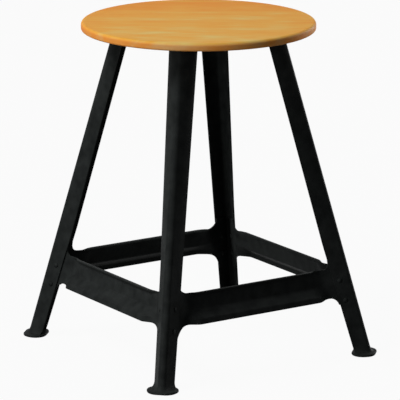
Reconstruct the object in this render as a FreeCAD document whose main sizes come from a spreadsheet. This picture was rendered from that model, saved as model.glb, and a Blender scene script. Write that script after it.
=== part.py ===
import FreeCAD, Part
import math
import os
import Sketcher
from FreeCAD import Placement, Rotation, Vector

# Workshop stool: a round wooden seat on four splayed legs of pressed sheet steel, tied low down
# by four pressed rails. The origin is on the floor under the seat's centre, +Z is up, and the
# legs stand on the diagonals, so the rails run along X and Y.

# Driving sizes in millimetres. A name that ends in share is a fraction of another size.
SIZES = (
    ("seat_height", 500.0, "floor to the top of the seat"),
    ("seat_diameter", 350.0, "across the seat"),
    ("seat_thickness", 12.0, "wood, top to bottom"),
    ("seat_top_chamfer", 2.9, "top edge of the seat"),
    ("seat_top_easing", 1.1, "corners of that chamfer"),
    ("seat_bottom_chamfer", 1.5, "bottom edge of the seat"),
    ("plate_thickness", 3.0, "steel plate under the seat"),
    ("plate_hole_diameter", 45.0, "hole in its middle"),
    ("sheet", 2.0, "sheet steel of the legs and rails"),
    ("spine_radius_top", 129.0, "axis to the spine of a leg, at its top"),
    ("spine_radius_foot", 267.0, "axis to the spine of a leg, at the floor"),
    ("nose_radius", 7.0, "outer rounding of the spine"),
    ("top_width", 43.0, "leg across its two flanges, at the top"),
    ("top_depth", 22.5, "leg from spine to free edge, at the top"),
    ("top_bulge_radius", 34.0, "curve of the flanges, at the top"),
    ("bulge_start_height", 170.0, "where the flat flanges begin to curve"),
    ("bulge_start_width", 33.0, "leg across its two flanges, where they begin to curve"),
    ("foot_width", 30.0, "leg across its two flanges, at the floor"),
    ("foot_depth", 22.6, "leg from spine to free edge, at the floor"),
    ("foot_plate_thickness", 4.0, "turned-out end of the sheet, hemmed under"),
    ("foot_reach", 5.5, "foot beyond the spine"),
    ("foot_front_width", 42.0, "foot across its outer end"),
    ("foot_back_width", 49.0, "foot across its inner end"),
    ("foot_corner_radius", 6.0, "rounding of the foot's corners"),
    ("flare_height", 13.0, "floor to where the leg's walls begin to turn out"),
    ("flare_reach", 4.5, "how far out the walls turn before the foot runs flat"),
    ("tongue_length", 44.0, "top of a leg, from the spine inwards under the plate"),
    ("tongue_width", 34.0, "its width at the inner end"),
    ("rail_top_height", 131.5, "floor to the top edge of a rail"),
    ("rail_bottom_height", 87.6, "floor to the bottom edge of a rail"),
    ("web_inset", 13.5, "rail web behind the plane of the leg spines"),
    ("lip_reach", 5.0, "rolled top edge of a rail, outwards from its web"),
    ("lip_bend_radius", 1.5, "inside of the bend into the lip"),
    ("ledge_top_share", 0.43, "up the rail, where the web turns out into the ledge"),
    ("ledge_bottom_share", 0.19, "up the rail, where the ledge turns down into the rim"),
    ("ledge_bend_radius", 5.0, "bends above and below the ledge"),
    ("rim_inset", 1.0, "ledge edge behind the plane of the leg spines"),
    ("tab_gap", 0.1, "paint between a rail end and its leg"),
    ("tab_start", 3.0, "rail end from the corner inside the leg"),
    ("flare_up", 14.0, "rail end above the rail"),
    ("flare_down", 20.0, "rail end below the rail"),
    ("flare_run", 20.0, "length over which a rail end grows taller"),
    ("blend_start", 8.0, "leg's free edge to where the channel begins"),
    ("blend_run", 30.0, "length over which a rail end becomes its channel"),
    ("rivet_diameter", 5.0, "shank of a rivet"),
    ("rivet_head_diameter", 9.0, "domed head"),
    ("rivet_head_height", 2.4, "domed head"),
    ("rivet_sink_diameter", 8.0, "end hammered flush"),
    ("rivet_sink_depth", 1.2, "its countersink"),
    ("rivet_high", 114.0, "upper rivet of a rail end"),
    ("rivet_low", 84.0, "lower rivet of a rail end"),
    ("rivet_place_share", 0.55, "rivet along the flat of the flange"),
    ("hole_clearance", 0.1, "hole larger than shank or head, all round"),
    ("top_rivet_spacing", 18.0, "between the two rivets at the top of a leg"),
    ("top_rivet_inset", 34.0, "their line from the spine inwards"),
    ("screw_inset", 26.0, "seat screws from the edge of the plate"),
    ("screw_diameter", 5.0, "wood screw shank"),
    ("screw_head_diameter", 9.5, "round head"),
    ("screw_head_height", 3.0, "round head"),
    ("screw_length", 12.0, "shank below the head"),
    ("screw_point_length", 4.0, "tapered point"),
    ("screw_tip_diameter", 1.0, "end of the point"),
)

# Flat facets in one half of a leg's nose, across one of its flanges, along its curved length and
# round the bend into the foot.
NOSE_STEPS = 3
FLANGE_STEPS = 4
CURVED_STEPS = 4
FOOT_STEPS = 3

# Facets in each bend of a rail, round its flared ends and along their change to the channel.
BEND_STEPS = 2
FLARE_STEPS = 4
BLEND_STEPS = 4

# Facets round a rivet or a screw, and from the middle of its domed head to the rim.
FASTENER_STEPS = 10
DOME_STEPS = 3

# Millimetres by which four corners may miss a common plane.
FLAT_ENOUGH = 1e-6

doc = FreeCAD.newDocument("Stool")
sizes = doc.addObject("Spreadsheet::Sheet", "Sizes")
for row, (alias, number, note) in enumerate(SIZES, start=1):
    sizes.set(f"A{row}", note)
    sizes.set(f"B{row}", str(number))
    sizes.setAlias(f"B{row}", alias)
doc.recompute()


def value(expression):
    """A number worked out on the sheet, as the bound properties work it out."""
    return float(sizes.evalExpression(expression))


def size(alias):
    return value(f"Sizes.{alias}")


# Measures that several pieces share, as expressions on the sheet. A rail's end and its rivet
# heads each lie on a coat of paint.
SEAT_BOTTOM = "(Sizes.seat_height - Sizes.seat_thickness)"
LEG_TOP = f"({SEAT_BOTTOM} - Sizes.plate_thickness)"
RIVET_SEAT_DEPTH = "(Sizes.sheet + 2 * Sizes.tab_gap)"
RAIL_GRIP = f"(Sizes.sheet + {RIVET_SEAT_DEPTH})"
TOP_GRIP = "(Sizes.sheet + Sizes.plate_thickness)"


def between(low, high, start, end, height):
    """A size that grows evenly from its value at one height to its value at another."""
    return f"({low} + ({high} - {low}) * ({height} - {start}) / ({end} - {start}))"


# Sketches and features


def turned_by(azimuth):
    return Placement(Vector(), Rotation(Vector(0, 0, 1), azimuth))


def plane(body, role):
    return next(item for item in body.Origin.OriginFeatures if item.Role == role)


def add_sketch(body, name, role, height="0"):
    """A sketch on one of the body's own planes, raised along the plane's normal."""
    sketch = body.newObject("Sketcher::SketchObject", name)
    sketch.AttachmentSupport = [(plane(body, role), "")]
    sketch.MapMode = "FlatFace"
    sketch.AttachmentOffset = Placement(Vector(0, 0, value(height)), Rotation())
    sketch.setExpression("AttachmentOffset.Base.z", height)
    return sketch


def constrain(sketch, rules, measures):
    """Geometric rules first, then named measures, each tied to an expression."""
    sketch.addConstraint([Sketcher.Constraint(*rule) for rule in rules])
    for name, (rule, expression) in measures.items():
        index = sketch.addConstraint(Sketcher.Constraint(*rule, value(expression)))
        sketch.renameConstraint(index, name)
        sketch.setExpression(f"Constraints.{name}", expression)


def arc(centre, radius, start, end):
    return Part.ArcOfCircle(Part.Circle(centre, Vector(0, 0, 1), radius), start, end)


def line(start, end):
    return Part.LineSegment(start, end)


def add_pad(body, name, sketch, length):
    pad = body.newObject("PartDesign::Pad", name)
    pad.Profile = sketch
    pad.setExpression("Length", length)
    return pad


def edges_where(feature, test):
    """Names of a feature's edges whose centre and direction pass a test."""
    doc.recompute()
    edges = enumerate(feature.Shape.Edges, start=1)
    return [f"Edge{number}" for number, edge in edges if test(edge)]


def add_chamfer(body, name, feature, edges, width):
    chamfer = body.newObject("PartDesign::Chamfer", name)
    chamfer.Base = (feature, edges)
    chamfer.Size = value(width)
    chamfer.setExpression("Size", width)
    return chamfer


# Pressings: a leg or a rail is one sheet. It is drawn as rows of points on the outer face and
# the same rows on the inner face, with flat facets between them.


def facets(first, second, third, fourth):
    """One flat face through four corners, or two when the corners aren't in one plane."""
    normal = (second - first).cross(fourth - first).normalize()
    if abs(third.distanceToPlane(first, normal)) < FLAT_ENOUGH:
        outlines = [[first, second, third, fourth]]
    else:
        outlines = [[first, second, third], [first, third, fourth]]
    return [Part.Face(Part.makePolygon(outline + outline[:1])) for outline in outlines]


def sheet_solid(outer, inner):
    """Solid between the two faces of a sheet, closed by a strip along each of its four edges."""
    sides = [outer, inner, [outer[0], inner[0]], [outer[-1], inner[-1]]]
    sides += [[[row[end] for row in outer], [row[end] for row in inner]] for end in (0, -1)]
    faces = []
    for rows in sides:
        for here, there in zip(rows, rows[1:]):
            for corners in zip(here, here[1:], there[1:], there):
                faces += facets(*corners)
    return Part.makeSolid(Part.makeShell(faces)).removeSplitter()


# Section of a leg, with the spine on the X axis: a round nose and, on each side, a flange that
# runs back from it. Low down the flanges are flat and open at the same angle all the way, and
# above that they curve towards the leg's top.

FOOT_HALF = "(Sizes.foot_width / 2)"
FOOT_BACK = "(Sizes.foot_depth - Sizes.nose_radius)"
FLANGE_ANGLE = (f"(atan2({FOOT_HALF}; {FOOT_BACK})"
                f" - asin(Sizes.nose_radius / hypot({FOOT_HALF}; {FOOT_BACK})))")
BULGE_START_DEPTH = ("(Sizes.foot_depth + (Sizes.bulge_start_width - Sizes.foot_width) / 2"
                     f" / tan({FLANGE_ANGLE}))")


def tangent_angle(radius, sideways, back):
    """Angle to the leg's diagonal of a line from a free edge that touches the nose."""
    return math.atan2(sideways, back) - math.asin(radius / math.hypot(sideways, back))


def leg_measures(height):
    """Spine, half width and depth of a leg's outer face at a height, as expressions."""
    spine = between("Sizes.spine_radius_foot", "Sizes.spine_radius_top", "0", LEG_TOP, height)
    bulge_start = "Sizes.bulge_start_height"
    if value(str(height)) > value(bulge_start):
        span = (bulge_start, LEG_TOP, height)
        width = between("Sizes.bulge_start_width", "Sizes.top_width", *span)
        depth = between(BULGE_START_DEPTH, "Sizes.top_depth", *span)
    else:
        span = ("0", bulge_start, height)
        width = between("Sizes.foot_width", "Sizes.bulge_start_width", *span)
        depth = between("Sizes.foot_depth", BULGE_START_DEPTH, *span)
    return spine, f"({width} / 2)", depth


def around(centre, radius, angles, height):
    return [Vector(centre.x + radius * math.cos(angle), centre.y + radius * math.sin(angle),
                   height) for angle in angles]


def evenly(start, end, steps):
    shares = [step / steps for step in range(steps + 1)]
    return [start * (1 - share) + end * share for share in shares]


def mirrored(half):
    """Both halves of a row that begins on the spine."""
    return [Vector(point.x, -point.y, point.z) for point in half[:0:-1]] + half


def leg_row(height, beyond=0):
    """Points across a leg at a height, on its outer face or a distance beyond it."""
    spine, half_width, depth = map(value, leg_measures(height))
    nose = size("nose_radius")
    centre = Vector(spine - nose, 0, 0)
    edge = Vector(spine - depth, half_width, 0)
    curving = (height - size("bulge_start_height")) / (
        value(LEG_TOP) - size("bulge_start_height"))
    if curving > 0:
        bulge = size("top_bulge_radius") / curving
        away = edge - centre
        spread = bulge - nose
        reach = (bulge ** 2 - spread ** 2 - away.Length ** 2) / (2 * spread)
        turn = math.atan2(away.y, away.x) - math.acos(reach / away.Length)
        middle = centre - Vector(math.cos(turn), math.sin(turn), 0) * spread
        last = math.atan2(edge.y - middle.y, edge.x - middle.x)
        flange = around(middle, bulge + beyond, evenly(turn, last, FLANGE_STEPS), height)
    else:
        turn = math.pi / 2 - tangent_angle(nose, half_width, depth - nose)
        start = around(centre, nose + beyond, [turn], height)[0]
        end = around(edge, beyond, [turn], height)[0]
        flange = evenly(start, end, FLANGE_STEPS)
    return mirrored(around(centre, nose + beyond, evenly(0, turn, NOSE_STEPS), height) + flange[1:])


def foot_rim(height):
    """Edge of the foot, a rounded trapezium: outer end, outer corner, inner corner."""
    spine, half_width, depth = map(value, leg_measures(0))
    rounding = size("foot_corner_radius")
    outer = Vector(spine + size("foot_reach"), size("foot_front_width") / 2, 0)
    inner = Vector(spine - depth, size("foot_back_width") / 2, 0)
    side = math.atan2(outer.x - inner.x, inner.y - outer.y)
    outer -= Vector(rounding, rounding * math.tan(side / 2), 0)
    inner += Vector(rounding, -rounding / math.tan(side / 2), 0)
    return mirrored([Vector(spine + size("foot_reach"), 0, height)]
                    + around(outer, rounding, evenly(0, side, NOSE_STEPS - 1), height)
                    + around(inner, rounding, evenly(side, math.pi, FLANGE_STEPS - 1), height))


def leg_shape():
    sheet, flare, foot, reach = map(size, ("sheet", "flare_height", "foot_plate_thickness",
                                           "flare_reach"))
    heights = evenly(value(LEG_TOP), size("bulge_start_height"), CURVED_STEPS)
    heights.append(flare)
    outer = [leg_row(height) for height in heights]
    inner = [leg_row(height, -sheet) for height in heights]
    for angle in evenly(0, math.pi / 2, FOOT_STEPS)[1:]:
        fall, out = 1 - math.sin(angle), 1 - math.cos(angle)
        outer.append(leg_row(foot + (flare - foot) * fall, reach * out))
        inner.append(leg_row(flare * fall, (reach + sheet) * out - sheet))
    outer.append(foot_rim(foot))
    inner.append(foot_rim(0))
    return sheet_solid(outer, inner)


# Legs: a strip of sheet pressed to a V with a round spine. The floor end of the sheet is turned
# out as a foot, and the top end is turned in as a tongue for two rivets.


def add_tongue(name, azimuth):
    """Top end of a leg: half its outline is drawn in the middle of the leg's sheet."""
    body = doc.addObject("PartDesign::Body", name)
    base = f"({LEG_TOP} - Sizes.sheet)"
    sketch = add_sketch(body, "Tongue_outline", "XY_Plane", base)
    inset = "Sizes.sheet / 2"
    spine, half_width, depth = (f"({measure} - {inset})" for measure in leg_measures(base))
    nose = f"(Sizes.nose_radius - {inset})"
    nose_now, spine_now, half_width_now, depth_now = map(value, (nose, spine, half_width, depth))
    turn = math.pi / 2 - tangent_angle(nose_now, half_width_now, depth_now - nose_now)
    centre = Vector(spine_now - nose_now, 0, 0)
    edge = Vector(spine_now - depth_now, half_width_now, 0)
    end_x = spine_now - size("tongue_length")
    corner = Vector(end_x, size("tongue_width") / 2, 0)
    sketch.addGeometry([
        arc(centre, nose_now, 0, turn),
        line(around(centre, nose_now, [turn], 0)[0], edge),
        line(edge, corner),
        line(corner, Vector(end_x, 0, 0)),
        line(Vector(end_x, 0, 0), Vector(spine_now, 0, 0)),
    ])
    rules = [
        ("Tangent", 0, 2, 1, 1), ("Coincident", 1, 2, 2, 1), ("Coincident", 2, 2, 3, 1),
        ("Vertical", 3), ("Coincident", 3, 2, 4, 1), ("Coincident", 4, 2, 0, 1),
        ("PointOnObject", 0, 3, -1), ("PointOnObject", 0, 1, -1), ("PointOnObject", 3, 2, -1),
    ]
    constrain(sketch, rules, {
        "nose": (("Radius", 0), nose),
        "spine": (("DistanceX", -1, 1, 0, 1), spine),
        "half_width": (("DistanceY", -1, 1, 1, 2), half_width),
        "depth": (("DistanceX", 1, 2, 0, 1), depth),
        "end": (("DistanceY", -1, 1, 2, 2), "Sizes.tongue_width / 2"),
        "length": (("DistanceX", 3, 1, 0, 1), "Sizes.tongue_length"),
    })
    half = add_pad(body, "Half_tongue", sketch, "Sizes.sheet")
    doc.recompute()
    both = body.newObject("PartDesign::Mirrored", "Both_halves")
    both.Originals = [half]
    both.MirrorPlane = (plane(body, "XZ_Plane"), [""])
    body.Tip = both
    body.Placement = turned_by(azimuth)
    return body


def flange_point(share, height):
    """Inner face of a flat flange: a point at a share of the way to its free edge."""
    half = leg_row(height, -size("sheet"))[-1 - FLANGE_STEPS:]
    return half[0] + (half[-1] - half[0]) * share


def flange_normal(share, height):
    """Direction out of the leg, square to the flange."""
    across = flange_point(1, height) - flange_point(0, height)
    along = flange_point(share, height + size("sheet")) - flange_point(share, height)
    return along.cross(across).normalize() * -1


def flange_seat(side, height):
    """Placement of a rivet: its head lies on the rail's end, and Z points out of the leg."""
    share = size("rivet_place_share")
    outward = flange_normal(share, height)
    point = flange_point(share, height) - outward * value(RIVET_SEAT_DEPTH)
    point.y *= side
    outward.y *= side
    return Placement(point, Rotation(Vector(0, 0, 1), outward))


# Rails: one strip of sheet each. Its upper edge is rolled outwards as a lip and its lower part is
# stepped outwards as a ledge. Both ends are pressed flat, grow taller and follow the inner face of
# the leg's flange. In a rail's frame X points out of the stool and Y runs along the rail.


def spine_reach(height):
    """Distance of a spine from the stool's middle, square to the rail and along it."""
    return value(leg_measures(height)[0]) / math.sqrt(2)


def rounded_path(corners, radii, steps):
    """Points along a path whose corners are rounded, each with its own radius."""
    path = [corners[0]]
    for before, corner, after, radius in zip(corners, corners[1:], corners[2:], radii):
        arriving = (corner - before).normalize()
        leaving = (after - corner).normalize()
        turn = arriving.getAngle(leaving)
        inward = (leaving - arriving).normalize()
        centre = corner + inward * (radius / math.cos(turn / 2))
        for step in range(steps + 1):
            swing = turn * (step / steps - 1 / 2)
            forward = (arriving + leaving).normalize()
            path.append(centre - (inward * math.cos(swing) - forward * math.sin(swing)) * radius)
    path.append(corners[-1])
    return path


def rail_section():
    """Outer face of the rail from the lip down: place behind the spines, height and share."""
    web = -size("web_inset")
    rim = -size("rim_inset")
    top, bottom = size("rail_top_height"), size("rail_bottom_height")
    lip = top - size("sheet")
    path = rounded_path([
        Vector(web + size("lip_reach"), 0, lip),
        Vector(web, 0, lip),
        Vector(web, 0, bottom + (top - bottom) * size("ledge_top_share")),
        Vector(rim, 0, bottom + (top - bottom) * size("ledge_bottom_share")),
        Vector(rim, 0, bottom),
    ], [size("lip_bend_radius"), size("ledge_bend_radius"), size("ledge_bend_radius")], BEND_STEPS)
    lengths = [0]
    for here, there in zip(path, path[1:]):
        lengths.append(lengths[-1] + here.distanceToPoint(there))
    return [(point.x, point.z, length / lengths[-1]) for point, length in zip(path, lengths)]


def across_corner(vector):
    """A vector of the leg's frame seen along the rail: outwards, and back from the spine."""
    return (vector.x + vector.y) / math.sqrt(2), (vector.y - vector.x) / math.sqrt(2)


def behind_spine(share, height):
    """A point of the flange's inner face, measured from the spine at the same height."""
    spine = Vector(value(leg_measures(height)[0]), 0, 0)
    return across_corner(flange_point(share, height) - spine)


def tab_face(back, height):
    """Outer face of a tab, and how much its slant lengthens a cut through the sheet."""
    start_out, start_back = behind_spine(0, height)
    edge_out, edge_back = behind_spine(1, height)
    share = (back - start_back) / (edge_back - start_back)
    normal = flange_normal(min(share, 1), height)
    outward, backward = across_corner(normal)
    lean = spine_reach(height) - spine_reach(height + size("sheet"))
    upward = normal.z + backward * lean / size("sheet")
    out = start_out + (edge_out - start_out) * share - size("tab_gap") / outward
    return out, 1 / math.hypot(outward, upward)


def smooth(share):
    share = min(max(share, 0), 1)
    return share * share * (3 - 2 * share)


def rail_stations():
    """Distances back from the spine at which the rail's section is drawn, and the tab's flare."""
    middle = (size("rail_top_height") + size("rail_bottom_height")) / 2
    first = behind_spine(0, middle)[1] + size("tab_start")
    edge = behind_spine(1, middle)[1]
    stations = {first: (1, 0)}

    def weight(back):
        return smooth((back - edge - size("blend_start")) / size("blend_run"))

    for step in range(FLARE_STEPS + 1):
        turn = math.pi / 2 * step / FLARE_STEPS
        back = edge + size("flare_run") * (1 - math.cos(turn))
        stations[back] = (1 - math.sin(turn), weight(back))
    for step in range(1, BLEND_STEPS + 1):
        back = edge + size("blend_start") + size("blend_run") * step / BLEND_STEPS
        if back > edge + size("flare_run"):
            stations[back] = (0, weight(back))
    return sorted(stations.items())


def rail_rows(back, flare, weight, end):
    """The rail's outer and inner face on a plane that leans with the leg."""
    top = size("rail_top_height") + size("flare_up") * flare
    bottom = size("rail_bottom_height") - size("flare_down") * flare
    outer = []
    slant = 1
    for out, height, share in rail_section():
        tab_height = top + (bottom - top) * share
        tab_out, tab_slant = tab_face(back, tab_height)
        slant = tab_slant + (1 - tab_slant) * weight
        z = tab_height + (height - tab_height) * weight
        outer.append(Vector(spine_reach(z) + tab_out + (out - tab_out) * weight, 0, z))
    inner = offset_path(outer, size("sheet") * slant)
    for point in outer + inner:
        point.y = end * (spine_reach(point.z) - back)
    return outer, inner


def offset_path(path, distance):
    """The same path moved to the inside of the stool, square to itself."""
    moved = []
    for index, point in enumerate(path):
        before = path[max(index - 1, 0)]
        after = path[min(index + 1, len(path) - 1)]
        arriving = (point - before if index else after - point).normalize()
        leaving = (after - point if after != point else point - before).normalize()
        inward = Vector(0, 1, 0).cross((arriving + leaving).normalize())
        moved.append(point + inward * (distance / math.cos(arriving.getAngle(leaving) / 2)))
    return moved


def rail_shape():
    stations = rail_stations()
    rows = [rail_rows(back, *state, 1) for back, state in stations]
    rows += [rail_rows(back, *state, -1) for back, state in reversed(stations)]
    return sheet_solid([outer for outer, inner in rows], [inner for outer, inner in rows])


# Fasteners, turned about Z: domed head below the origin, shank above it. Rivets and screws are
# small, so their round forms and the holes round them have flat facets.


def turned_solid(rings):
    """Solid through regular outlines round Z, each with a radius and a height."""
    turn = evenly(0, 2 * math.pi, FASTENER_STEPS)
    rows = [around(Vector(), radius, turn, height) for radius, height in rings]
    faces = [Part.Face(Part.makePolygon(row)) for row in (rows[0], rows[-1])]
    for here, there in zip(rows, rows[1:]):
        for corners in zip(here, here[1:], there[1:], there):
            faces += facets(*corners)
    return Part.makeSolid(Part.makeShell(faces)).removeSplitter()


def dome_rings(diameter, height):
    """Part of a ball, from near its middle to its rim."""
    radius = diameter / 2
    ball = (radius ** 2 + height ** 2) / (2 * height)
    angles = evenly(0, math.asin(radius / ball), DOME_STEPS)[1:]
    return [(ball * math.sin(angle), ball * (1 - math.cos(angle)) - height) for angle in angles]


def rivet_solid(grip):
    """A rivet whose far end is hammered flush into a countersink."""
    shank = size("rivet_diameter") / 2
    return turned_solid(dome_rings(size("rivet_head_diameter"), size("rivet_head_height"))
                        + [(shank, 0), (shank, grip - size("rivet_sink_depth")),
                           (size("rivet_sink_diameter") / 2, grip)])


def screw_solid():
    shank, length = size("screw_diameter") / 2, size("screw_length")
    return turned_solid(dome_rings(size("screw_head_diameter"), size("screw_head_height"))
                        + [(shank, 0), (shank, length - size("screw_point_length")),
                           (size("screw_tip_diameter") / 2, length)])


def hole_solid(diameter, length, sink=False):
    """Tool for a fastener's hole, from its head's face on, with a countersink at the far end."""
    room = size("hole_clearance")
    radius = size(diameter) / 2 + room
    rings = [(radius, -room), (radius, length + room)]
    if sink:
        wide = size("rivet_sink_diameter") / 2 + room
        start = length - size("rivet_sink_depth") - room
        rings[1:] = [(radius, start), (wide, length - room), (wide, length + room)]
    return turned_solid(rings)


def placed(shape, placement):
    copy = shape.copy()
    copy.Placement = placement.multiply(copy.Placement)
    return copy


def add_group(name, shape, placements):
    """One node made of separate copies of the same solid."""
    group = doc.addObject("Part::Feature", name)
    group.Shape = Part.makeCompound([placed(shape, placement) for placement in placements])
    return group


def add_cut(name, base, tools):
    holes = doc.addObject("Part::Feature", f"{name}_holes")
    holes.Shape = Part.makeCompound(tools)
    cut = doc.addObject("Part::Cut", name)
    cut.Base = base
    cut.Tool = holes
    return cut


def add_pressing(name, shape, azimuth):
    pressing = doc.addObject("Part::Feature", name)
    pressing.Shape = shape
    pressing.Placement = turned_by(azimuth)
    return pressing


# Seat: a solid wooden disc, screwed from below to a steel plate that the legs carry.


def add_disc(name, diameter, thickness, base_height):
    """A round blank that stands on a height of the stool."""
    body = doc.addObject("PartDesign::Body", name)
    sketch = add_sketch(body, "Blank_outline", "XY_Plane")
    sketch.addGeometry([Part.Circle(Vector(), Vector(0, 0, 1), value(diameter) / 2)])
    constrain(sketch, [("Coincident", 0, 3, -1, 1)],
              {"radius": (("Radius", 0), f"{diameter} / 2")})
    add_pad(body, "Blank", sketch, thickness)
    body.Placement = Placement(Vector(0, 0, value(base_height)), Rotation())
    body.setExpression("Placement.Base.z", base_height)
    doc.recompute()
    return body


def add_seat():
    """The disc with its edges eased, and blind holes for the screws in its underside."""
    body = add_disc("seat_blank", "Sizes.seat_diameter", "Sizes.seat_thickness", SEAT_BOTTOM)
    middle = size("seat_thickness") / 2

    def upper(edge):
        return edge.Closed and edge.CenterOfMass.z > middle

    def lower(edge):
        return edge.Closed and edge.CenterOfMass.z < middle

    blank = body.Tip
    top = add_chamfer(body, "Top_chamfer", blank, edges_where(blank, upper),
                      "Sizes.seat_top_chamfer")
    eased = add_chamfer(body, "Top_easing", top, edges_where(top, upper), "Sizes.seat_top_easing")
    add_chamfer(body, "Bottom_chamfer", eased, edges_where(eased, lower),
                "Sizes.seat_bottom_chamfer")
    return add_cut("seat_board", body, SCREW_HOLES)


def add_seat_plate():
    """The steel plate under the seat: the legs end under it, flush with its edge."""
    blank = add_disc("seat_plate_blank", "(2 * Sizes.spine_radius_top)", "Sizes.plate_thickness",
                     LEG_TOP)
    middle = Part.makeCylinder(size("plate_hole_diameter") / 2, size("plate_thickness"),
                               Vector(0, 0, value(LEG_TOP)))
    sunk_hole = hole_solid("rivet_diameter", value(TOP_GRIP), sink=True)
    tools = [placed(sunk_hole, turned_by(azimuth).multiply(seat))
             for azimuth in LEG_AZIMUTHS.values() for seat in TOP_RIVET_SEATS]
    return add_cut("seat_plate", blank, [middle] + SCREW_HOLES + tools)


# The parts in their places. Azimuths are turned from +X, with the stool's front at -Y.

LEG_AZIMUTHS = {"front_left": -135, "front_right": -45, "back_left": 135, "back_right": 45}
RAIL_AZIMUTHS = {"front": -90, "right": 0, "back": 90, "left": 180}
CORNER = 45

RIVET_SEATS = [flange_seat(side, size(height))
               for side in (-1, 1) for height in ("rivet_high", "rivet_low")]
TOP_RIVET_SEATS = [Placement(Vector(size("spine_radius_top") - size("top_rivet_inset"),
                                    side * size("top_rivet_spacing") / 2,
                                    value(f"({LEG_TOP} - Sizes.sheet)")), Rotation())
                   for side in (-1, 1)]
SCREW_SEAT = Placement(Vector(size("spine_radius_top") - size("screw_inset"), 0, value(LEG_TOP)),
                       Rotation())
SCREW_SEATS = {side: turned_by(azimuth).multiply(SCREW_SEAT)
               for side, azimuth in RAIL_AZIMUTHS.items()}
SCREW_HOLES = [placed(hole_solid("screw_diameter", size("screw_length")), seat)
               for seat in SCREW_SEATS.values()]

rail_rivet = rivet_solid(value(RAIL_GRIP))
top_rivet = rivet_solid(value(TOP_GRIP))
sunk_hole = hole_solid("rivet_diameter", value(RAIL_GRIP), sink=True)
plain_hole = hole_solid("rivet_diameter", value(RAIL_GRIP) - size("sheet"))
tongue_hole = hole_solid("rivet_diameter", value(TOP_GRIP))
leg = leg_shape()
rail = rail_shape()

nodes = [add_seat(), add_seat_plate()]

for corner, azimuth in LEG_AZIMUTHS.items():
    place = turned_by(azimuth)
    tools = [placed(sunk_hole, place.multiply(seat)) for seat in RIVET_SEATS]
    tools += [placed(tongue_hole, place.multiply(seat)) for seat in TOP_RIVET_SEATS]
    whole = doc.addObject("Part::Fuse", f"leg_{corner}_whole")
    whole.Base = add_pressing(f"leg_{corner}_walls", leg, azimuth)
    whole.Tool = add_tongue(f"leg_{corner}_tongue", azimuth)
    nodes.append(add_cut(f"leg_{corner}", whole, tools))
    nodes.append(add_group(f"rail_rivets_{corner}", rail_rivet,
                           [place.multiply(seat) for seat in RIVET_SEATS]))
    nodes.append(add_group(f"top_rivets_{corner}", top_rivet,
                           [place.multiply(seat) for seat in TOP_RIVET_SEATS]))

for side, azimuth in RAIL_AZIMUTHS.items():
    pressing = add_pressing(f"rail_{side}_strip", rail, azimuth)
    tools = []
    for turn, seats in ((CORNER, RIVET_SEATS[:2]), (-CORNER, RIVET_SEATS[2:])):
        tools += [placed(plain_hole, turned_by(azimuth + turn).multiply(seat)) for seat in seats]
    nodes.append(add_cut(f"rail_{side}", pressing, tools))

for side, seat in SCREW_SEATS.items():
    nodes.append(add_group(f"seat_screw_{side}", screw_solid(), [seat]))

# Checks, then one file for each part.

doc.recompute()
for item in doc.Objects:
    if "Invalid" in item.State or "Error" in item.State:
        raise RuntimeError(f"{item.Name} did not build: {item.State}")

os.makedirs("parts", exist_ok=True)
for node in nodes:
    node.Label = node.Name
    shape = node.Shape
    if shape.isNull() or not shape.isValid() or not shape.Solids:
        raise RuntimeError(f"{node.Name} is not a sound solid")
    shape.exportStep(f"parts/{node.Label}.step")
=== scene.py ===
import math

import bpy
import numpy as np
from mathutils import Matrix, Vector


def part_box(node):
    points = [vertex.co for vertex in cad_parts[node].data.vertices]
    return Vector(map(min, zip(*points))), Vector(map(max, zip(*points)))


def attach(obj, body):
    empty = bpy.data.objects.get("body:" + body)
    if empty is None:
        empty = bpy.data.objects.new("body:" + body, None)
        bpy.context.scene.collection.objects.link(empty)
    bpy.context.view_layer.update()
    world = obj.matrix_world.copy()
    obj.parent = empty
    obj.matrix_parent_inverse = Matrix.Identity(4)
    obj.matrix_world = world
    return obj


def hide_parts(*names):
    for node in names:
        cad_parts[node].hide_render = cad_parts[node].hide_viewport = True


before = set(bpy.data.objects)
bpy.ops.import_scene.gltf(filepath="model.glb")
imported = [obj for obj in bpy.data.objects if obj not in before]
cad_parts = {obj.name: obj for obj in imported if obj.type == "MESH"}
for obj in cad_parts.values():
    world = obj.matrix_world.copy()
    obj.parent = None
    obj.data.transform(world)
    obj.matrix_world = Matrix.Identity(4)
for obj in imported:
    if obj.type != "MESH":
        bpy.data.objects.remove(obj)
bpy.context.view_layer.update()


# Studio: a grey floor that runs to the horizon, a broad soft lamp high on the left, and two weaker
# ones low at the front left and at the back right. The lens and any gloss see floor and surround
# as nearly white.
FLOOR_SIZE = 40.0
FLOOR_COLOUR = (0.17, 0.17, 0.17, 1)
FLOOR_WHITE = 0.95
SURROUND = 0.08
WHITE = (1, 1, 1, 1)
LAMP_PLACE_WIDTH_POWER = {"key": ((-3.0, 0.5, 4.0), 1.7, 246.0),
                          "front": ((-4.05, -0.75, 1.0), 1.3, 67.0),
                          "fill": ((4.1, 0.6, 1.1), 2.5, 175.0)}
LAMP_AIM = Vector((0, 0, 0.3))


class Signal:
    """One socket's output, so that shader maths reads as ordinary expressions."""

    def __init__(self, tree, socket):
        self.tree, self.socket = tree, socket

    def math(self, operation, *others):
        """A Math node that works on this signal and the others."""
        return node(self.tree, "ShaderNodeMath", {"operation": operation}, [self, *others])

    def __add__(self, other):
        return self.math("ADD", other)

    def __sub__(self, other):
        return self.math("SUBTRACT", other)

    def __rsub__(self, other):
        return node(self.tree, "ShaderNodeMath", {"operation": "SUBTRACT"}, [other, self])

    def __mul__(self, other):
        return self.math("MULTIPLY", other)

    __radd__ = __add__
    __rmul__ = __mul__


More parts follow.
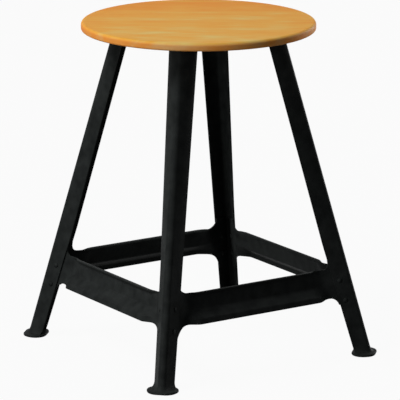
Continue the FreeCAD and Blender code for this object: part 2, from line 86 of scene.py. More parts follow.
def node(tree, kind, settings, sockets, output=0):
    """A shader node: its settings first, then a value or a link for each socket."""
    made = tree.nodes.new(kind)
    for name, value in settings.items():
        if name == "stops":
            ramp = made.color_ramp
            for _ in value[2:]:
                ramp.elements.new(1)
            for element, (position, colour) in zip(ramp.elements, value):
                element.position = position
                element.color = (*colour, 1)
        else:
            setattr(made, name, value)
    items = sockets.items() if isinstance(sockets, dict) else enumerate(sockets)
    for name, value in items:
        if isinstance(value, Signal):
            tree.links.new(value.socket, made.inputs[name])
        else:
            made.inputs[name].default_value = value
    return Signal(tree, made.outputs[output]) if made.outputs else None


def surface(name, build):
    """A material whose build function turns Object coordinates into a shader."""
    material = bpy.data.materials.new(name)
    material.use_nodes = True
    tree = material.node_tree
    tree.nodes.clear()
    place = node(tree, "ShaderNodeTexCoord", {}, [], "Object")
    shader = build(tree, place)
    node(tree, "ShaderNodeOutputMaterial", {}, {"Surface": shader})
    return material


def seen(tree):
    """1 for a ray from the lens or from a gloss or glass surface, 0 for one that carries light:
    the largest of the three flags."""
    camera, glossy, glass = (node(tree, "ShaderNodeLightPath", {}, [], ray) for ray in (
        "Is Camera Ray", "Is Glossy Ray", "Is Transmission Ray"))
    return camera.math("MAXIMUM", glossy).math("MAXIMUM", glass)


def floor_paint(tree, place):
    """Matt grey, mixed with white light by a fixed share wherever the floor is seen."""
    matt = node(tree, "ShaderNodeBsdfDiffuse", {}, {"Color": FLOOR_COLOUR})
    white = node(tree, "ShaderNodeEmission", {}, {"Color": WHITE, "Strength": 1.0})
    return node(tree, "ShaderNodeMixShader", {}, [seen(tree) * FLOOR_WHITE, matt, white])


floor_mesh = bpy.data.meshes.new("floor")
half = FLOOR_SIZE / 2
floor_mesh.from_pydata([(-half, -half, 0), (half, -half, 0), (half, half, 0), (-half, half, 0)],
                       [], [(0, 1, 2, 3)])
floor_mesh.materials.append(surface("pale floor", floor_paint))
floor = bpy.data.objects.new("floor", floor_mesh)
bpy.context.collection.objects.link(floor)

world = bpy.data.worlds.new("surround")
bpy.context.scene.world = world
world.use_nodes = True
sky = world.node_tree
sky.nodes.clear()
backdrop = node(sky, "ShaderNodeBackground", {},
                {"Color": WHITE, "Strength": seen(sky) * (1 - SURROUND) + SURROUND})
node(sky, "ShaderNodeOutputWorld", {}, {"Surface": backdrop})

for name, (place, width, power) in LAMP_PLACE_WIDTH_POWER.items():
    light = bpy.data.lights.new(name, "AREA")
    light.size = width
    light.energy = power
    lamp = bpy.data.objects.new(name, light)
    lamp.location = place
    lamp.rotation_euler = (LAMP_AIM - lamp.location).to_track_quat("-Z", "Y").to_euler()
    bpy.context.collection.objects.link(lamp)

bpy.context.scene.view_settings.view_transform = "Standard"

# Camera: a long lens about five metres off and one and a half up, beyond the front left leg. It
# is aimed a little down at the stool.
LENS = 305.3
LENS_SHIFT = (0.0036, 0.0005)
FARTHEST_SEEN = 100
CAMERA_DISTANCE = 4.958
CAMERA_HEIGHT = 1.4587
CAMERA_BEARING = math.radians(-123.17)
CAMERA_PITCH = math.radians(13.977)

lens = bpy.data.cameras.new("camera")
lens.lens = LENS
lens.shift_x, lens.shift_y = LENS_SHIFT
lens.clip_end = FARTHEST_SEEN
camera = bpy.data.objects.new("camera", lens)
camera.location = (CAMERA_DISTANCE * math.cos(CAMERA_BEARING),
                   CAMERA_DISTANCE * math.sin(CAMERA_BEARING), CAMERA_HEIGHT)
camera.rotation_euler = (math.pi / 2 - CAMERA_PITCH, 0, CAMERA_BEARING + math.pi / 2)
bpy.context.collection.objects.link(camera)
bpy.context.scene.camera = camera


# Seat: a solid beech disc, turned from boards glued side by side, with a stain and a satin
# varnish. Its top edge is well rounded and its bottom edge slightly. Screws from below hold it.
SEAT_TOP_ROUNDING, SEAT_TOP_POINTS = 0.0049, 14
SEAT_BOTTOM_ROUNDING, SEAT_BOTTOM_POINTS = 0.0025, 10
SEAT_RINGS = (0.02, 0.5, 0.9)
SEAT_SEGMENTS = 192
BOARD_WIDTH, BOARD_SHIFT = 0.074, 0.7
GRAIN_BEARING = math.radians(33.0)
BAND_STRETCH = (1.6, 14, 14)
BAND_NOISE = {"Scale": 2.0, "Detail": 4.0, "Roughness": 0.55, "Distortion": 0.5}
PORE_STRETCH = (60, 900, 900)
PORE_NOISE = {"Scale": 1.0, "Detail": 2.0}
FLECK_STRETCH = (20, 70, 70)
FLECK_NOISE = {"Scale": 1.0, "Detail": 3.0}
BAND_WEIGHT, PORE_WEIGHT, BOARD_WEIGHT, FLECK_WEIGHT = 0.45, 0.12, 0.16, 0.45
# The fall across the seat is a painted sheen: the top is paler towards the front left leg.
PAINTED_SHEEN_ACROSS, FALL_AT_RIM, TONE_LESS = 0.95, 0.07, 0.065
RIM_START, RIM_END = 0.11, 0.18
BEECH_PALE = (0.50, 0.38, 0.125)
BEECH_MIDDLE = (0.55, 0.272, 0.042)
BEECH_DEEP = (0.55, 0.200, 0.020)
BEECH_STOPS = [(0.25, BEECH_DEEP), (0.5, BEECH_MIDDLE), (0.75, BEECH_PALE)]
# Tint of the seat's side: partly the stain taking deeper there, partly painted shade on the side.
SIDE_STAIN_AND_SHADE = (1.0, 0.78, 0.95)
EDGE_START, EDGE_FULL = 0.0012, 0.0042
PORE_RELIEF, PORE_DEPTH = 0.05, 0.0005
VARNISH_ROUGHNESS, VARNISH_UNEVENNESS, VARNISH_GLOSS = 0.46, 0.1, 0.03

seat_low, seat_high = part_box("seat_board")
seat_radius = (seat_high[0] - seat_low[0]) / 2


def grid_faces(rows, columns, around=False, along=False):
    """Quads of a grid whose points are numbered row by row: each point, the next one in its row,
    and the two below them. Around joins the last column to the first, along the last row to the
    first."""
    row = np.arange(rows if along else rows - 1)[:, None]
    column = np.arange(columns if around else columns - 1)[None, :]
    below, beside = (row + 1) % rows, (column + 1) % columns
    quads = np.stack(np.broadcast_arrays(row * columns + column, row * columns + beside,
                                         below * columns + beside, below * columns + column),
                     axis=-1)
    return quads.reshape(-1, 4)


def capped(rows, columns):
    """Faces of a tube whose rows are closed loops, with a flat cap over its first and last row."""
    last = (rows - 1) * columns
    return [*grid_faces(rows, columns, around=True),
            range(columns)[::-1], range(last, last + columns)]


def turned(profile, segments, ring=False):
    """Surface of revolution: each (radius, height) of the profile goes round the Z axis, to the
    radius times the cosine and sine of the angle. A ring's profile is a loop, and any other ends
    near the axis and is capped there."""
    profile = np.asarray(profile)
    angle = np.linspace(0, 2 * math.pi, segments, endpoint=False)
    radius, height = profile[:, 0, None], profile[:, 1, None]
    points = np.stack([radius * np.cos(angle), radius * np.sin(angle),
                       np.broadcast_to(height, (len(profile), segments))], axis=-1)
    if ring:
        return points, grid_faces(len(profile), segments, around=True, along=True)
    return points, capped(len(profile), segments)


def rounding(radius, height, size, start, end, count):
    """Arc of the given size about (radius, height): the centre plus the size times the cosine
    and sine of angles from start to end."""
    angle = np.linspace(start, end, count)
    return np.stack([radius + size * np.cos(angle), height + size * np.sin(angle)], axis=-1)


def make_piece(name, points, faces, material, cad_node):
    """A mesh object at the origin that rides on the frame and stands for one CAD node."""
    mesh = bpy.data.meshes.new(name)
    mesh.from_pydata(points.reshape(-1, 3).tolist(), [], [list(face) for face in faces])
    mesh.materials.append(material)
    mesh.shade_smooth()
    piece = bpy.data.objects.new(name, mesh)
    bpy.context.collection.objects.link(piece)
    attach(piece, "root")
    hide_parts(cad_node)
    return piece


def streaks(tree, place, stretch, noise):
    """Noise on coordinates that are multiplied by their own factor along each axis."""
    stretched = node(tree, "ShaderNodeMapping", {}, {"Vector": place, "Scale": stretch})
    return node(tree, "ShaderNodeTexNoise", {}, {"Vector": stretched, **noise})


def beech(tree, place):
    """Boards side by side, each with its own tone, with soft bands, flecks and fine pores along
    them. A weighted sum of the four, less a fall across the seat and one towards its rim, picks
    the colour from three browns. The fall across is a painted sheen, paler towards the front
    left leg. Below the top edge a deeper, more orange tint multiplies the colour: partly the
    stain taking deeper in the side, partly painted shade on the side."""
    along = node(tree, "ShaderNodeMapping", {}, {"Vector": place,
                                                 "Rotation": (0, 0, GRAIN_BEARING)})
    x, y, z = (node(tree, "ShaderNodeSeparateXYZ", {}, [along], axis) for axis in range(3))
    board = (y * (1 / BOARD_WIDTH)).math("FLOOR")
    shade = node(tree, "ShaderNodeTexWhiteNoise", {"noise_dimensions": "1D"}, {"W": board},
                 "Value")
    shifted = node(tree, "ShaderNodeCombineXYZ", {}, [x + BOARD_SHIFT * board, y, z])
    band = streaks(tree, shifted, BAND_STRETCH, BAND_NOISE)
    pore = streaks(tree, shifted, PORE_STRETCH, PORE_NOISE)
    fleck = streaks(tree, shifted, FLECK_STRETCH, FLECK_NOISE)
    rim = node(tree, "ShaderNodeMapRange", {"interpolation_type": "SMOOTHSTEP"}, {
        "Value": (x * x + y * y).math("SQRT"), "From Min": RIM_START, "From Max": RIM_END})
    # The fall across the seat is a painted sheen, paler towards the front left leg and deeper
    # towards the back right.
    tone = (band * BAND_WEIGHT + pore * PORE_WEIGHT + shade * BOARD_WEIGHT + fleck * FLECK_WEIGHT
            - y * PAINTED_SHEEN_ACROSS - rim * FALL_AT_RIM - TONE_LESS)
    colour = node(tree, "ShaderNodeValToRGB", {"stops": BEECH_STOPS}, [tone])
    # Below the top edge a deeper, more orange tint: partly stain, partly painted shade on the
    # side.
    edge = node(tree, "ShaderNodeMapRange", {}, {
        "Value": z, "From Min": seat_high[2] - EDGE_START, "From Max": seat_high[2] - EDGE_FULL})
    stained_and_shaded = node(tree, "ShaderNodeMix", {"data_type": "RGBA", "blend_type": "MULTIPLY"},
                   {"Factor": edge, "A": colour, "B": (*SIDE_STAIN_AND_SHADE, 1)}, "Result")
    relief = node(tree, "ShaderNodeBump", {}, {"Strength": PORE_RELIEF, "Distance": PORE_DEPTH,
                                               "Height": pore})
    return node(tree, "ShaderNodeBsdfPrincipled", {}, {
        "Base Color": stained_and_shaded, "Roughness": VARNISH_ROUGHNESS + VARNISH_UNEVENNESS * pore,
        "Specular IOR Level": VARNISH_GLOSS, "Normal": relief})


seat_profile = np.concatenate([
    [(seat_radius * share, seat_low[2]) for share in SEAT_RINGS],
    rounding(seat_radius - SEAT_BOTTOM_ROUNDING, seat_low[2] + SEAT_BOTTOM_ROUNDING,
             SEAT_BOTTOM_ROUNDING, -math.pi / 2, 0, SEAT_BOTTOM_POINTS),
    rounding(seat_radius - SEAT_TOP_ROUNDING, seat_high[2] - SEAT_TOP_ROUNDING,
             SEAT_TOP_ROUNDING, 0, math.pi / 2, SEAT_TOP_POINTS),
    [(seat_radius * share, seat_high[2]) for share in SEAT_RINGS[::-1]],
])
seat_points, seat_faces = turned(seat_profile, SEAT_SEGMENTS)
make_piece("seat", seat_points, seat_faces, surface("varnished beech", beech), "seat_board")

# Legs: strips of sheet steel pressed to a V with a round spine, painted black. The flanges are
# flat low down and curve inwards towards the seat. The foot is turned out and hemmed under, and
# the top is turned in as a tongue under the seat plate.
LEG_SPINE_TOP, LEG_SPINE_FOOT = 0.129, 0.267
LEG_WIDTH_TOP, LEG_WIDTH_CURVING, LEG_WIDTH_FOOT = 0.043, 0.033, 0.030
LEG_DEPTH_TOP, LEG_DEPTH_FOOT = 0.0225, 0.0226
LEG_CURVING_START = 0.170
LEG_CURVE_RADIUS = 0.034
LEG_SHEET = 0.002
LEG_NOSE = 0.007
LEAST_CURVING = 1e-4
NOSE_STEPS, FLANGE_STEPS = 14, 12
LEG_STEPS, FLARE_STEPS = 48, 10
FLARE_HEIGHT = 0.013
FLARE_REACH = 0.0045
FOOT_THICKNESS = 0.004
FOOT_FRONT_REACH, FOOT_BACK_REACH = 0.006, 0.030
FOOT_FRONT_WIDTH, FOOT_BACK_WIDTH = 0.045, 0.047
FOOT_FRONT_CORNER, FOOT_BACK_CORNER = 0.017, 0.0165
FOOT_FRONT_POINTS, FOOT_BACK_POINTS = 14, 12
FOOT_HEM, HEM_STEPS = 0.0016, 5
TONGUE_LENGTH = 0.044
TONGUE_WIDTH, TONGUE_POINTS = 0.034, 9
SHEET_BEVEL, BEVEL_SEGMENTS = 0.0004, 2
BEVEL_ANGLE = math.radians(40)
LEG_BEARINGS = {"front_left": -135, "front_right": -45, "back_left": 135, "back_right": 45}
PAINT_STOPS = [(0.3, (0.0083, 0.0093, 0.0091)), (0.7, (0.0162, 0.0180, 0.0175))]
PEEL_NOISE = {"Scale": 420.0, "Detail": 2.0}
PEEL_RELIEF, PEEL_DEPTH = 0.12, 0.0003
CLOUD_NOISE = {"Scale": 60.0, "Detail": 4.0}
PAINT_ROUGHNESS, PAINT_UNEVENNESS, PAINT_GLOSS = 0.38, 0.16, 0.01

leg_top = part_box("leg_front_left")[1][2]
foot_back, foot_half = LEG_DEPTH_FOOT - LEG_NOSE, LEG_WIDTH_FOOT / 2
flange_angle = (math.atan2(foot_half, foot_back)
                - math.asin(LEG_NOSE / math.hypot(foot_half, foot_back)))
LEG_DEPTH_CURVING = (LEG_DEPTH_FOOT + (LEG_WIDTH_CURVING - LEG_WIDTH_FOOT) / 2
                     / math.tan(flange_angle))


def leg_measures(height):
    """Spine, half width and depth of a leg at any heights. All three run straight, and the last
    two change slope where the flanges begin to curve."""
    spine = LEG_SPINE_FOOT + (LEG_SPINE_TOP - LEG_SPINE_FOOT) * height / leg_top
    marks = (0, LEG_CURVING_START, leg_top)
    width = np.interp(height, marks, (LEG_WIDTH_FOOT, LEG_WIDTH_CURVING, LEG_WIDTH_TOP))
    depth = np.interp(height, marks, (LEG_DEPTH_FOOT, LEG_DEPTH_CURVING, LEG_DEPTH_TOP))
    return spine, width / 2, depth


def leg_rows(height, beyond):
    """Rows across a leg: an arc about the nose, then an arc that touches it and ends at the free
    edge. The second arc's radius falls from nearly straight to the curve radius with height."""
    height, beyond = (np.broadcast_to(np.asarray(item, float), np.shape(height))[:, None]
                      for item in (height, beyond))
    spine, half_width, depth = leg_measures(height)
    curving = (height - LEG_CURVING_START) / (leg_top - LEG_CURVING_START)
    curve = LEG_CURVE_RADIUS / np.maximum(curving, LEAST_CURVING)
    away_x, away_y = LEG_NOSE - depth, half_width
    away = np.hypot(away_x, away_y)
    reach = (2 * curve * LEG_NOSE - LEG_NOSE ** 2 - away ** 2) / (2 * (curve - LEG_NOSE))
    turn = np.arctan2(away_y, away_x) - np.arccos(reach / away)
    middle_x, middle_y = -np.cos(turn) * (curve - LEG_NOSE), -np.sin(turn) * (curve - LEG_NOSE)
    last = np.arctan2(away_y - middle_y, away_x - middle_x)
    nose = turn * np.linspace(0, 1, NOSE_STEPS + 1)
    flange = turn + (last - turn) * np.linspace(0, 1, FLANGE_STEPS + 1)[1:]
    x = np.concatenate([(LEG_NOSE + beyond) * np.cos(nose),
                        middle_x + (curve + beyond) * np.cos(flange)], axis=1)
    y = np.concatenate([(LEG_NOSE + beyond) * np.sin(nose),
                        middle_y + (curve + beyond) * np.sin(flange)], axis=1)
    half_row = np.stack([x + spine - LEG_NOSE, y, np.broadcast_to(height, x.shape)], axis=-1)
    return np.concatenate([half_row[:, :0:-1] * (1, -1, 1), half_row], axis=1)


def foot_rows(inset, height):
    """Closed outlines of the foot plate, each at its own inset and height. From the outer end an
    arc turns round the front corner, and a line leads to the arc at the back corner."""
    inset = inset[:, None]
    front = np.array([LEG_SPINE_FOOT + FOOT_FRONT_REACH - FOOT_FRONT_CORNER,
                      FOOT_FRONT_WIDTH / 2 - FOOT_FRONT_CORNER])
    back = np.array([LEG_SPINE_FOOT - FOOT_BACK_REACH + FOOT_BACK_CORNER,
                     FOOT_BACK_WIDTH / 2 - FOOT_BACK_CORNER])
    apart = front - back
    side = math.atan2(apart[1], apart[0]) + math.acos(
        (FOOT_BACK_CORNER - FOOT_FRONT_CORNER) / math.hypot(*apart))
    x, y = np.concatenate([
        rounding(*front, FOOT_FRONT_CORNER - inset, 0, side, FOOT_FRONT_POINTS),
        rounding(*back, FOOT_BACK_CORNER - inset, side, math.pi, FOOT_BACK_POINTS)], axis=1).T
    half_row = np.stack(np.broadcast_arrays(x.T, y.T, height[:, None]), axis=-1)
    return np.concatenate([half_row, half_row[:, ::-1] * (1, -1, 1)], axis=1)


def sheet(front, back):
    """Closed sheet between two grids of points, with a strip along each of the four edges. Seen
    from the front, rows go down and columns go to the right."""
    rows, columns = front.shape[:2]
    grid = np.arange(rows * columns).reshape(rows, columns)
    border = np.concatenate([grid[0, :], grid[1:, -1], grid[-1, -2::-1], grid[-2:0:-1, 0]])
    after = np.roll(border, -1)
    faces = [grid_faces(rows, columns)[:, ::-1], grid_faces(rows, columns) + rows * columns,
             np.stack([after, after + rows * columns, border + rows * columns, border], axis=-1)]
    return np.concatenate([front, back]), np.concatenate(faces)


def joined(shells):
    """Several closed shells in one mesh: the numbers in each shell's faces go up by the count of
    the points before it."""
    every_point, every_face, count = [], [], 0
    for points, faces in shells:
        every_point.append(points.reshape(-1, 3))
        every_face += [[index + count for index in face] for face in faces]
        count += len(every_point[-1])
    return np.concatenate(every_point), every_face


def turn_about_z(points, bearing):
    """Points turned about the stool's axis by a bearing in degrees: x and y times its cosine,
    less y and plus x times its sine."""
    cosine, sine = math.cos(math.radians(bearing)), math.sin(math.radians(bearing))
    return points @ np.array([[cosine, sine, 0], [-sine, cosine, 0], [0, 0, 1]])


def make_four(name, cad_node, bearings, points, faces, material):
    """One shape made four times, each turned to its own bearing about the stool's axis."""
    return [make_piece(f"{name}_{place}", turn_about_z(points, bearing), faces, material,
                       f"{cad_node}_{place}") for place, bearing in bearings.items()]


def soften(piece):
    """Small bevels where faces of the cut sheet meet sharply."""
    bevel = piece.modifiers.new("soft edges", "BEVEL")
    bevel.width = SHEET_BEVEL
    bevel.segments = BEVEL_SEGMENTS
    bevel.limit_method = "ANGLE"
    bevel.angle_limit = BEVEL_ANGLE
    bevel.harden_normals = True


def black_paint(tree, place):
    """Stoved black paint. Fine noise is its orange peel, and a coarser one shifts colour and
    gloss slightly."""
    peel = node(tree, "ShaderNodeTexNoise", {}, {"Vector": place, **PEEL_NOISE})
    cloud = node(tree, "ShaderNodeTexNoise", {}, {"Vector": place, **CLOUD_NOISE})
    relief = node(tree, "ShaderNodeBump", {}, {"Strength": PEEL_RELIEF, "Distance": PEEL_DEPTH,
                                               "Height": peel})
    colour = node(tree, "ShaderNodeValToRGB", {"stops": PAINT_STOPS}, [cloud])
    return node(tree, "ShaderNodeBsdfPrincipled", {}, {
        "Base Color": colour, "Roughness": PAINT_ROUGHNESS + PAINT_UNEVENNESS * cloud,
        "Specular IOR Level": PAINT_GLOSS, "Normal": relief})


paint = surface("black paint", black_paint)

leg_heights = np.linspace(leg_top, FLARE_HEIGHT, LEG_STEPS + 1)
flare = np.linspace(0, math.pi / 2, FLARE_STEPS + 1)[1:]
fall, out = 1 - np.sin(flare), 1 - np.cos(flare)
leg_outer = np.concatenate([
    leg_rows(leg_heights, 0.0),
    leg_rows(FOOT_THICKNESS + (FLARE_HEIGHT - FOOT_THICKNESS) * fall, FLARE_REACH * out)])
leg_inner = np.concatenate([
    leg_rows(leg_heights, -LEG_SHEET),
    leg_rows(FOOT_HEM + (FLARE_HEIGHT - FOOT_HEM) * fall,
             (FLARE_REACH + LEG_SHEET) * out - LEG_SHEET)])

# Tongue: the leg's top end, a little narrower towards its tip and turned in flat, so that it lies
# under the seat plate and takes the two top rivets. It starts in the middle of the leg's sheet.
tongue_rim = leg_rows(np.array([leg_top]), -LEG_SHEET / 2)[0, NOSE_STEPS + FLANGE_STEPS + 1:]
tongue_end = [tongue_rim[0, 0] - TONGUE_LENGTH, TONGUE_WIDTH / 2, leg_top]
rim_x, rim_y, rim_z = np.concatenate([tongue_rim, [tongue_end]]).T[:, :, None]
across = np.linspace(-1, 1, TONGUE_POINTS)
tongue_top = np.stack(np.broadcast_arrays(rim_x, rim_y * across, rim_z), axis=-1)
tongue_bottom = tongue_top - (0, 0, LEG_SHEET)

# Foot: the strip's other end, hammered out to a flat oval plate and hemmed under, so that its
# edge is thick and round.
hem = np.linspace(0, math.pi / 2, HEM_STEPS + 1)
hem_inset, hem_fall = FOOT_HEM * (1 - np.sin(hem)), FOOT_HEM * (1 - np.cos(hem))
foot_points = foot_rows(np.concatenate([hem_inset, hem_inset[::-1]]),
                        np.concatenate([hem_fall, FOOT_THICKNESS - hem_fall[::-1]]))

leg_points, leg_faces = joined([sheet(leg_outer, leg_inner), sheet(tongue_bottom, tongue_top),
                                (foot_points, capped(*foot_points.shape[:2]))])
for leg in make_four("pressed_leg", "leg", LEG_BEARINGS, leg_points, leg_faces, paint):
    soften(leg)

# Rails: strips of the same sheet, pressed to a web with a lip rolled out on top and a ledge below.
# Each end is pressed flat and flared to lie inside a leg's flange, with a deep gusset at the front
# and back legs and a small one at the others.
RAIL_TOP, RAIL_BOTTOM = 0.1315, 0.0876
RAIL_HEIGHT = RAIL_TOP - RAIL_BOTTOM
RAIL_WEB_INSET, RAIL_RIM_INSET = 0.0135, 0.001
RAIL_LIP_REACH, RAIL_LIP_BEND = 0.005, 0.0015
RAIL_LEDGE_TOP = RAIL_BOTTOM + 0.43 * RAIL_HEIGHT
RAIL_LEDGE_BOTTOM = RAIL_BOTTOM + 0.19 * RAIL_HEIGHT
RAIL_LEDGE_BEND = 0.0025
BEND_STEPS, SECTION_SPACING = 6, 0.0025
TAB_GAP, TAB_START, TAB_POINTS = 0.0001, 0.003, 5
TAB_UP = 0.014
DEEP_GUSSET, SMALL_GUSSET, GUSSET_POINTS = (0.028, 0.024), (0.010, 0.010), 13
BLEND_START, BLEND_RUN, BLEND_POINTS = 0.008, 0.030, 16
RAIL_BEARINGS = {"front": -90, "right": 0, "back": 90, "left": 180}


def rounded_path(corners, radii):
    """A path of straight runs joined by arcs: each corner's arc touches both of its runs. Each
    piece between two points is then cut into equal parts near the section's spacing."""
    corners = np.asarray(corners, float)
    pieces = [corners[:1]]
    for before, corner, after, radius in zip(corners, corners[1:], corners[2:], radii):
        arriving = (corner - before) / np.linalg.norm(corner - before)
        leaving = (after - corner) / np.linalg.norm(after - corner)
        turn = math.acos(arriving @ leaving)
        inward = (leaving - arriving) / np.linalg.norm(leaving - arriving)
        forward = (arriving + leaving) / np.linalg.norm(arriving + leaving)
        swing = turn * (np.linspace(0, 1, BEND_STEPS + 1)[:, None] - 0.5)
        centre = corner + inward * radius / math.cos(turn / 2)
        pieces.append(centre - (inward * np.cos(swing) - forward * np.sin(swing)) * radius)
    path = np.concatenate([*pieces, corners[-1:]])
    step = np.diff(path, axis=0)
    parts = np.maximum(1, np.round(np.linalg.norm(step, axis=1) / SECTION_SPACING)).astype(int)
    piece = np.repeat(np.arange(len(parts)), parts)
    part = np.arange(parts.sum()) - (np.cumsum(parts) - parts)[piece] + 1
    return np.concatenate([path[:1], path[piece] + step[piece] * (part / parts[piece])[:, None]])


def spine_reach(height):
    """A spine's distance from the stool's middle along either floor axis, which is its own
    distance over the root of two."""
    return leg_measures(height)[0] / math.sqrt(2)


def flange_ends(height):
    """Inner face of a flat flange beside the nose and at the free edge, for any heights."""
    rows = leg_rows(np.ravel(height), -LEG_SHEET)[:, NOSE_STEPS + FLANGE_STEPS:]
    return [rows[:, end].reshape(*np.shape(height), 3) for end in (NOSE_STEPS, -1)]


def flange_normal(share, height):
    """Unit vector out of the leg at a share of the way to the flange's edge: the cross product of
    the way across the flange and the way up it."""
    near, far = flange_ends(height)
    above_near, above_far = flange_ends(height + LEG_SHEET)
    upwards = (above_near - near) * (1 - share) + (above_far - far) * share
    normal = np.cross(far - near, upwards)
    return normal / np.linalg.norm(normal, axis=-1, keepdims=True)


def corner_view(vector):
    """A vector of the leg's frame as seen along a rail: outwards is the sum of its floor parts
    over the root of two, and back from the spine is their difference over it."""
    return ((vector[..., 0] + vector[..., 1]) / math.sqrt(2),
            (vector[..., 1] - vector[..., 0]) / math.sqrt(2))


def smooth(share):
    """0 below 0, 1 above 1, and between them a curve that is level at both ends."""
    share = np.clip(share, 0, 1)
    return share * share * (3 - 2 * share)


def offset(x, z, distance):
    """Each row of points moved inwards, square to the row, by its own distance."""
    step_x, step_z = np.gradient(x, axis=1), np.gradient(z, axis=1)
    size = np.hypot(step_x, step_z)
    return x + step_z / size * distance, z - step_x / size * distance


section = rounded_path([(RAIL_LIP_REACH - RAIL_WEB_INSET, RAIL_TOP - LEG_SHEET),
                        (-RAIL_WEB_INSET, RAIL_TOP - LEG_SHEET),
                        (-RAIL_WEB_INSET, RAIL_LEDGE_TOP), (-RAIL_RIM_INSET, RAIL_LEDGE_BOTTOM),
                        (-RAIL_RIM_INSET, RAIL_BOTTOM)],
                       [RAIL_LIP_BEND, RAIL_LEDGE_BEND, RAIL_LEDGE_BEND])
run_down = np.concatenate([[0], np.cumsum(np.linalg.norm(np.diff(section, axis=0), axis=1))])
run_down /= run_down[-1]

middle_height = np.array([(RAIL_TOP + RAIL_BOTTOM) / 2])
middle_spine = np.array([leg_measures(middle_height[0])[0], 0, 0])
nose_back, edge_back = (corner_view(end[0] - middle_spine)[1]
                        for end in flange_ends(middle_height))


def rail_end(tab_down, tab_run):
    """Outer and inner points of one end of a rail, on planes that lean with the leg's spine. The
    tab follows the leg's flange and grows beyond it along quarter ellipses, then its rows turn by
    the smooth share into the rail's section. A leaning plane cuts the sheet slanted, which makes
    it look thicker by one over the normal's length in that plane."""
    quarter = np.linspace(0, math.pi / 2, GUSSET_POINTS)
    backs = np.concatenate([
        np.linspace(nose_back + TAB_START, edge_back, TAB_POINTS)[:-1],
        edge_back + tab_run * (1 - np.cos(quarter)),
        np.linspace(edge_back + tab_run, edge_back + BLEND_START + BLEND_RUN, BLEND_POINTS)[1:]])
    growth = 1 - np.sqrt(1 - (1 - np.clip((backs - edge_back) / tab_run, 0, 1)) ** 2)
    weight = smooth((backs - edge_back - BLEND_START) / BLEND_RUN)[:, None]
    top = (RAIL_TOP + TAB_UP * growth)[:, None]
    bottom = (RAIL_BOTTOM - tab_down * growth)[:, None]
    tab_height = top + (bottom - top) * run_down
    near, far = flange_ends(tab_height)
    spine_here = np.zeros_like(near)
    spine_here[..., 0] = leg_measures(tab_height)[0]
    near_out, near_back = corner_view(near - spine_here)
    far_out, far_back = corner_view(far - spine_here)
    share = (backs[:, None] - near_back) / (far_back - near_back)
    normal = flange_normal(np.minimum(share, 1)[..., None], tab_height)
    outward, backward = corner_view(normal)
    lean = (spine_reach(0.0) - spine_reach(LEG_SHEET)) / LEG_SHEET
    slant = 1 / np.hypot(outward, normal[..., 2] + backward * lean)
    tab_out = near_out + (far_out - near_out) * share - TAB_GAP / outward
    z = tab_height + (section[:, 1] - tab_height) * weight
    x = spine_reach(z) + tab_out + (section[:, 0] - tab_out) * weight
    inner = offset(x, z, LEG_SHEET * (slant + (1 - slant) * weight))
    return [np.stack([x, spine_reach(z) - backs[:, None], z], axis=-1) for x, z in ((x, z), inner)]


deep, small = rail_end(*DEEP_GUSSET), rail_end(*SMALL_GUSSET)
for side, bearing in RAIL_BEARINGS.items():
    ahead, behind = (deep, small) if side in ("left", "right") else (small, deep)
    rail_points, rail_faces = sheet(*(np.concatenate([one, other[::-1] * (1, -1, 1)])
                                      for one, other in zip(ahead, behind)))
    soften(make_piece(f"pressed_rail_{side}", turn_about_z(rail_points.reshape(-1, 3), bearing),
                      rail_faces, paint, f"rail_{side}"))

# Rail rivets: steel rivets with a domed head on the rail's end and a tail hammered flush into
# the leg. They are painted with the frame.
RIVET_HEIGHTS = (0.114, 0.084)
RIVET_SHARE = 0.55
RIVET_RADIUS, RIVET_SEGMENTS = 0.0025, 32
RIVET_HEAD_RADIUS, RIVET_HEAD_HEIGHT, RIVET_HEAD_POINTS = 0.0045, 0.0024, 12
RIVET_SINK_RADIUS, RIVET_SINK_START = 0.004, 0.8
RIVET_PROUD, RIVET_TIP = 0.00004, 0.0002
HEAD_CLEARANCE = 0.00005
DOME_START = 0.02


def dome(radius, height, count):
    """Arc of a sphere through the rim at zero and the axis at `height` below it. The sphere's
    radius is the sum of both squares over twice the height."""
    sphere = (radius ** 2 + height ** 2) / (2 * height)
    angle = np.linspace(DOME_START, math.asin(min(radius / sphere, 1)), count)
    return np.stack([sphere * np.sin(angle), sphere - height - sphere * np.cos(angle)], axis=-1)


def rivet(length):
    """Domed head below zero, shank, and a tail that widens to its flush end, carried round."""
    return turned(np.concatenate([
        dome(RIVET_HEAD_RADIUS, RIVET_HEAD_HEIGHT, RIVET_HEAD_POINTS),
        [(RIVET_RADIUS, HEAD_CLEARANCE), (RIVET_RADIUS, length * RIVET_SINK_START),
         (RIVET_SINK_RADIUS, length), (RIVET_TIP, length + RIVET_PROUD)]]), RIVET_SEGMENTS)


def placed(points, origin, axis=(0, 0, 1)):
    """Points of a turned piece moved to an origin, with its Z axis laid along another one."""
    turn = Vector((0, 0, 1)).rotation_difference(Vector(axis)).to_matrix()
    return points.reshape(-1, 3) @ np.array(turn).T + np.asarray(origin)


rivet_depth = LEG_SHEET + 2 * TAB_GAP
rivet_points, rivet_faces = rivet(LEG_SHEET + rivet_depth)
corner_rivets = []
for height in RIVET_HEIGHTS:
    where = np.array([height])
    near, far = flange_ends(where)
    out_of_leg = flange_normal(RIVET_SHARE, where)[0]
    origin = (near + (far - near) * RIVET_SHARE)[0] - out_of_leg * rivet_depth
    corner_rivets += [(placed(rivet_points, origin * mirror, out_of_leg * mirror), rivet_faces)
                      for mirror in ((1, 1, 1), (1, -1, 1))]
make_four("rivets", "rail_rivets", LEG_BEARINGS, *joined(corner_rivets), paint)

# Seat plate: a disc of sheet steel with a hole in its middle and softened edges. The legs end
# under it, and it is painted with the frame.
PLATE_HOLE_RADIUS = 0.0225
PLATE_EDGE, PLATE_EDGE_POINTS = 0.0006, 5

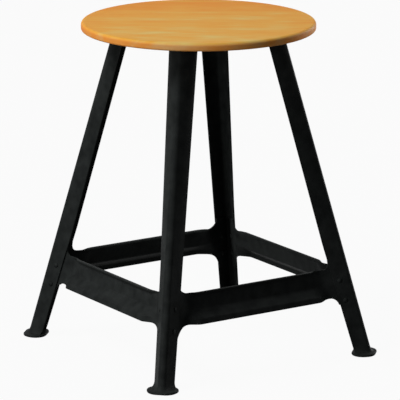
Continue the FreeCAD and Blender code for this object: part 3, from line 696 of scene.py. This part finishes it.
plate_low, plate_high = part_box("seat_plate")
plate_radius = (plate_high[0] - plate_low[0]) / 2
plate_profile = np.concatenate([
    rounding(radius + side * PLATE_EDGE, height - up * PLATE_EDGE, PLATE_EDGE, start,
             start + math.pi / 2, PLATE_EDGE_POINTS)
    for radius, side, height, up, start in (
        (PLATE_HOLE_RADIUS, 1, plate_low[2], -1, -math.pi),
        (plate_radius, -1, plate_low[2], -1, -math.pi / 2),
        (plate_radius, -1, plate_high[2], 1, 0),
        (PLATE_HOLE_RADIUS, 1, plate_high[2], 1, math.pi / 2))])
plate_points, plate_faces = turned(plate_profile, SEAT_SEGMENTS, ring=True)
make_piece("plate_under_seat", plate_points, plate_faces, paint, "seat_plate")

# Top rivets: two steel rivets at the top of each leg, domed below the tongue and hammered flush
# with the plate's top. They are painted with the frame.
TOP_RIVET_INSET, TOP_RIVET_SPACING = 0.034, 0.018

top_rivet_points, top_rivet_faces = rivet(LEG_SHEET + plate_high[2] - plate_low[2] - RIVET_PROUD)
pair = [(placed(top_rivet_points, (LEG_SPINE_TOP - TOP_RIVET_INSET, side * TOP_RIVET_SPACING / 2,
                                   plate_low[2] - LEG_SHEET)), top_rivet_faces)
        for side in (-1, 1)]
make_four("plate_rivets", "top_rivets", LEG_BEARINGS, *joined(pair), paint)

# Seat screws: zinc-plated wood screws with round heads and a cross recess, driven up through
# the plate into the seat.
SCREW_INSET = 0.026
SCREW_RADIUS, SCREW_LENGTH, SCREW_POINT, SCREW_TIP = 0.0025, 0.012, 0.004, 0.0005
SCREW_HEAD_RADIUS, SCREW_HEAD_HEIGHT, SCREW_HEAD_POINTS = 0.00475, 0.003, 30
SCREW_SEGMENTS = 96
RECESS_REACH, RECESS_HALF_WIDTH, RECESS_DEPTH = 0.0024, 0.0005, 0.0014
RECESS_STEEPNESS = 1.6
ZINC_STOPS = [(0.3, (0.42, 0.43, 0.45)), (0.7, (0.62, 0.63, 0.65))]
ZINC_NOISE = {"Scale": 300.0, "Detail": 3.0}
ZINC_ROUGHNESS, ZINC_UNEVENNESS = 0.3, 0.15


def zinc(tree, place):
    """Bright zinc plating, with a noise that shifts colour and gloss as faint clouding."""
    cloud = node(tree, "ShaderNodeTexNoise", {}, {"Vector": place, **ZINC_NOISE})
    colour = node(tree, "ShaderNodeValToRGB", {"stops": ZINC_STOPS}, [cloud])
    return node(tree, "ShaderNodeBsdfPrincipled", {}, {
        "Base Color": colour, "Metallic": 1.0,
        "Roughness": ZINC_ROUGHNESS + ZINC_UNEVENNESS * cloud})


def recessed(points):
    """The head's lowest points pressed in along a cross: where x or y is small they rise by the
    depth times the smooth share of how near the axis they are."""
    x, y, z = np.abs(points[..., 0]), np.abs(points[..., 1]), points[..., 2]
    arms = np.minimum(x, y) < RECESS_HALF_WIDTH
    reach = smooth(RECESS_STEEPNESS * (1 - np.hypot(x, y) / RECESS_REACH))
    pressed = points.copy()
    pressed[..., 2] = z + np.where(arms & (z < 0), RECESS_DEPTH * reach, 0)
    return pressed


screw_points, screw_faces = turned(np.concatenate([
    dome(SCREW_HEAD_RADIUS, SCREW_HEAD_HEIGHT, SCREW_HEAD_POINTS),
    [(SCREW_RADIUS, HEAD_CLEARANCE), (SCREW_RADIUS, SCREW_LENGTH - SCREW_POINT),
     (SCREW_TIP, SCREW_LENGTH)]]), SCREW_SEGMENTS)
screw_points = placed(recessed(screw_points), (LEG_SPINE_TOP - SCREW_INSET, 0, plate_low[2]))
make_four("wood_screw", "seat_screw", RAIL_BEARINGS, screw_points, screw_faces,
          surface("zinc plating", zinc))
